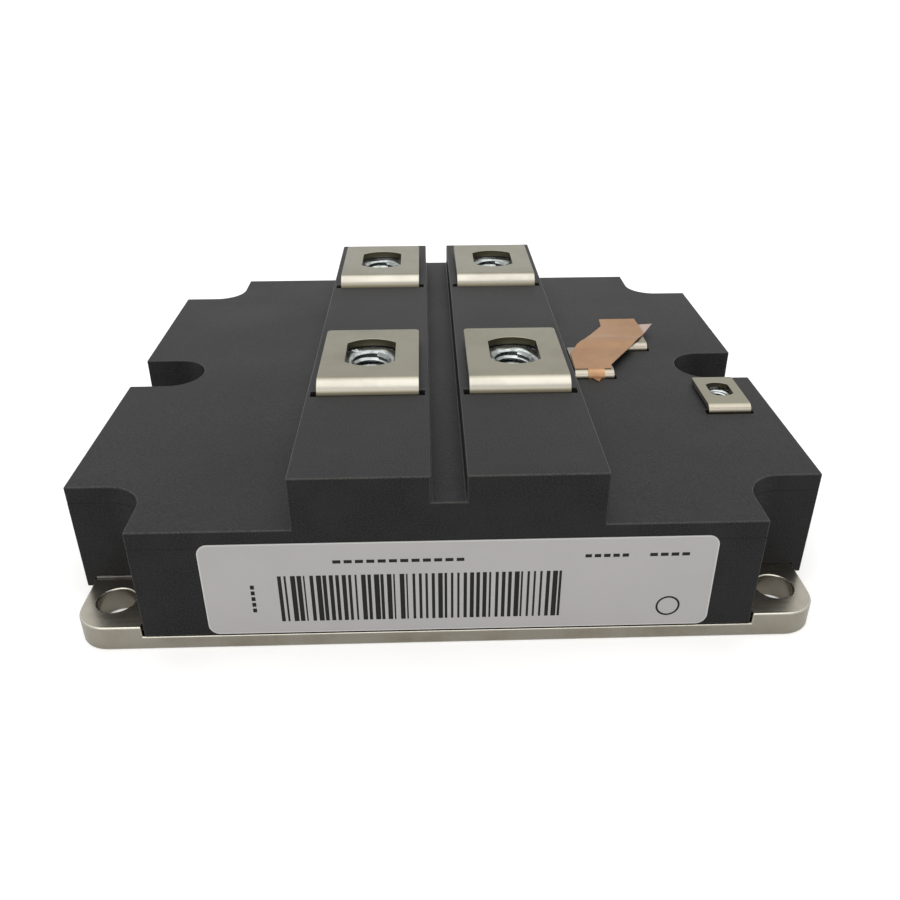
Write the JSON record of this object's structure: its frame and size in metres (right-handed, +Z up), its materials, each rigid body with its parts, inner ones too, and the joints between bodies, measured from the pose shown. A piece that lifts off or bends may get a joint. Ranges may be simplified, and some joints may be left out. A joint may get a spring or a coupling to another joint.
{
  "type": "igbt power module",
  "caption": "Flat power semiconductor module: metal base plate with mounting ears, black ridged housing, bent screw terminals over captive nuts, and control tabs on one wing.",
  "frame": {"origin": "centre of the base plate's underside", "axes": "+X across the width towards the control tabs, +Y along the ridges away from the label, +Z up through the terminals"},
  "size_m": [0.14, 0.1302, 0.038],
  "materials": {
    "base_plate": "satin nickel plating over copper",
    "frame": "fine moulded texture",
    "lid": "fine moulded texture",
    "emitter_bar_front": "satin nickel plating over copper",
    "emitter_bar_rear": "satin nickel plating over copper",
    "collector_bar_front": "satin nickel plating over copper",
    "collector_bar_rear": "satin nickel plating over copper",
    "gate_terminal": "satin nickel plating over copper",
    "emitter_sense_terminal": "satin nickel plating over copper",
    "collector_sense_terminal": "satin nickel plating over copper",
    "m8_nuts": "bright zinc plating",
    "m4_nuts": "bright zinc plating",
    "shorting_foil": "plain rolled copper foil, slightly creased",
    "label": "smooth pale grey film",
    "substrate_front_left": "copper pads bonded to white ceramic",
    "substrate_front_right": "copper pads bonded to white ceramic",
    "substrate_rear_left": "copper pads bonded to white ceramic",
    "substrate_rear_right": "copper pads bonded to white ceramic",
    "igbt_chips": "silicon with a metallised top",
    "diode_chips": "silicon with a metallised top",
    "bond_wires": "bright drawn wire",
    "control_leads": "bare copper wire",
    "gel": "clear soft silicone",
    "potting": "cast black resin"
  },
  "bodies": {
    "root": {"base_plate": "base_plate", "frame": "frame", "lid": "lid", "emitter_bar_front": "emitter_bar_front", "emitter_bar_rear": "emitter_bar_rear", "collector_bar_front": "collector_bar_front", "collector_bar_rear": "collector_bar_rear", "gate_terminal": "gate_terminal", "emitter_sense_terminal": "emitter_sense_terminal", "collector_sense_terminal": "collector_sense_terminal", "m8_nuts": "m8_nuts", "m4_nuts": "m4_nuts", "shorting_foil": "shorting_foil", "label": "label", "substrate_front_left": "substrate_front_left", "substrate_front_right": "substrate_front_right", "substrate_rear_left": "substrate_rear_left", "substrate_rear_right": "substrate_rear_right", "igbt_chips": "igbt_chips", "diode_chips": "diode_chips", "bond_wires": "bond_wires", "control_leads": "control_leads", "gel": "gel", "potting": "potting"}
  },
  "joints": []
}
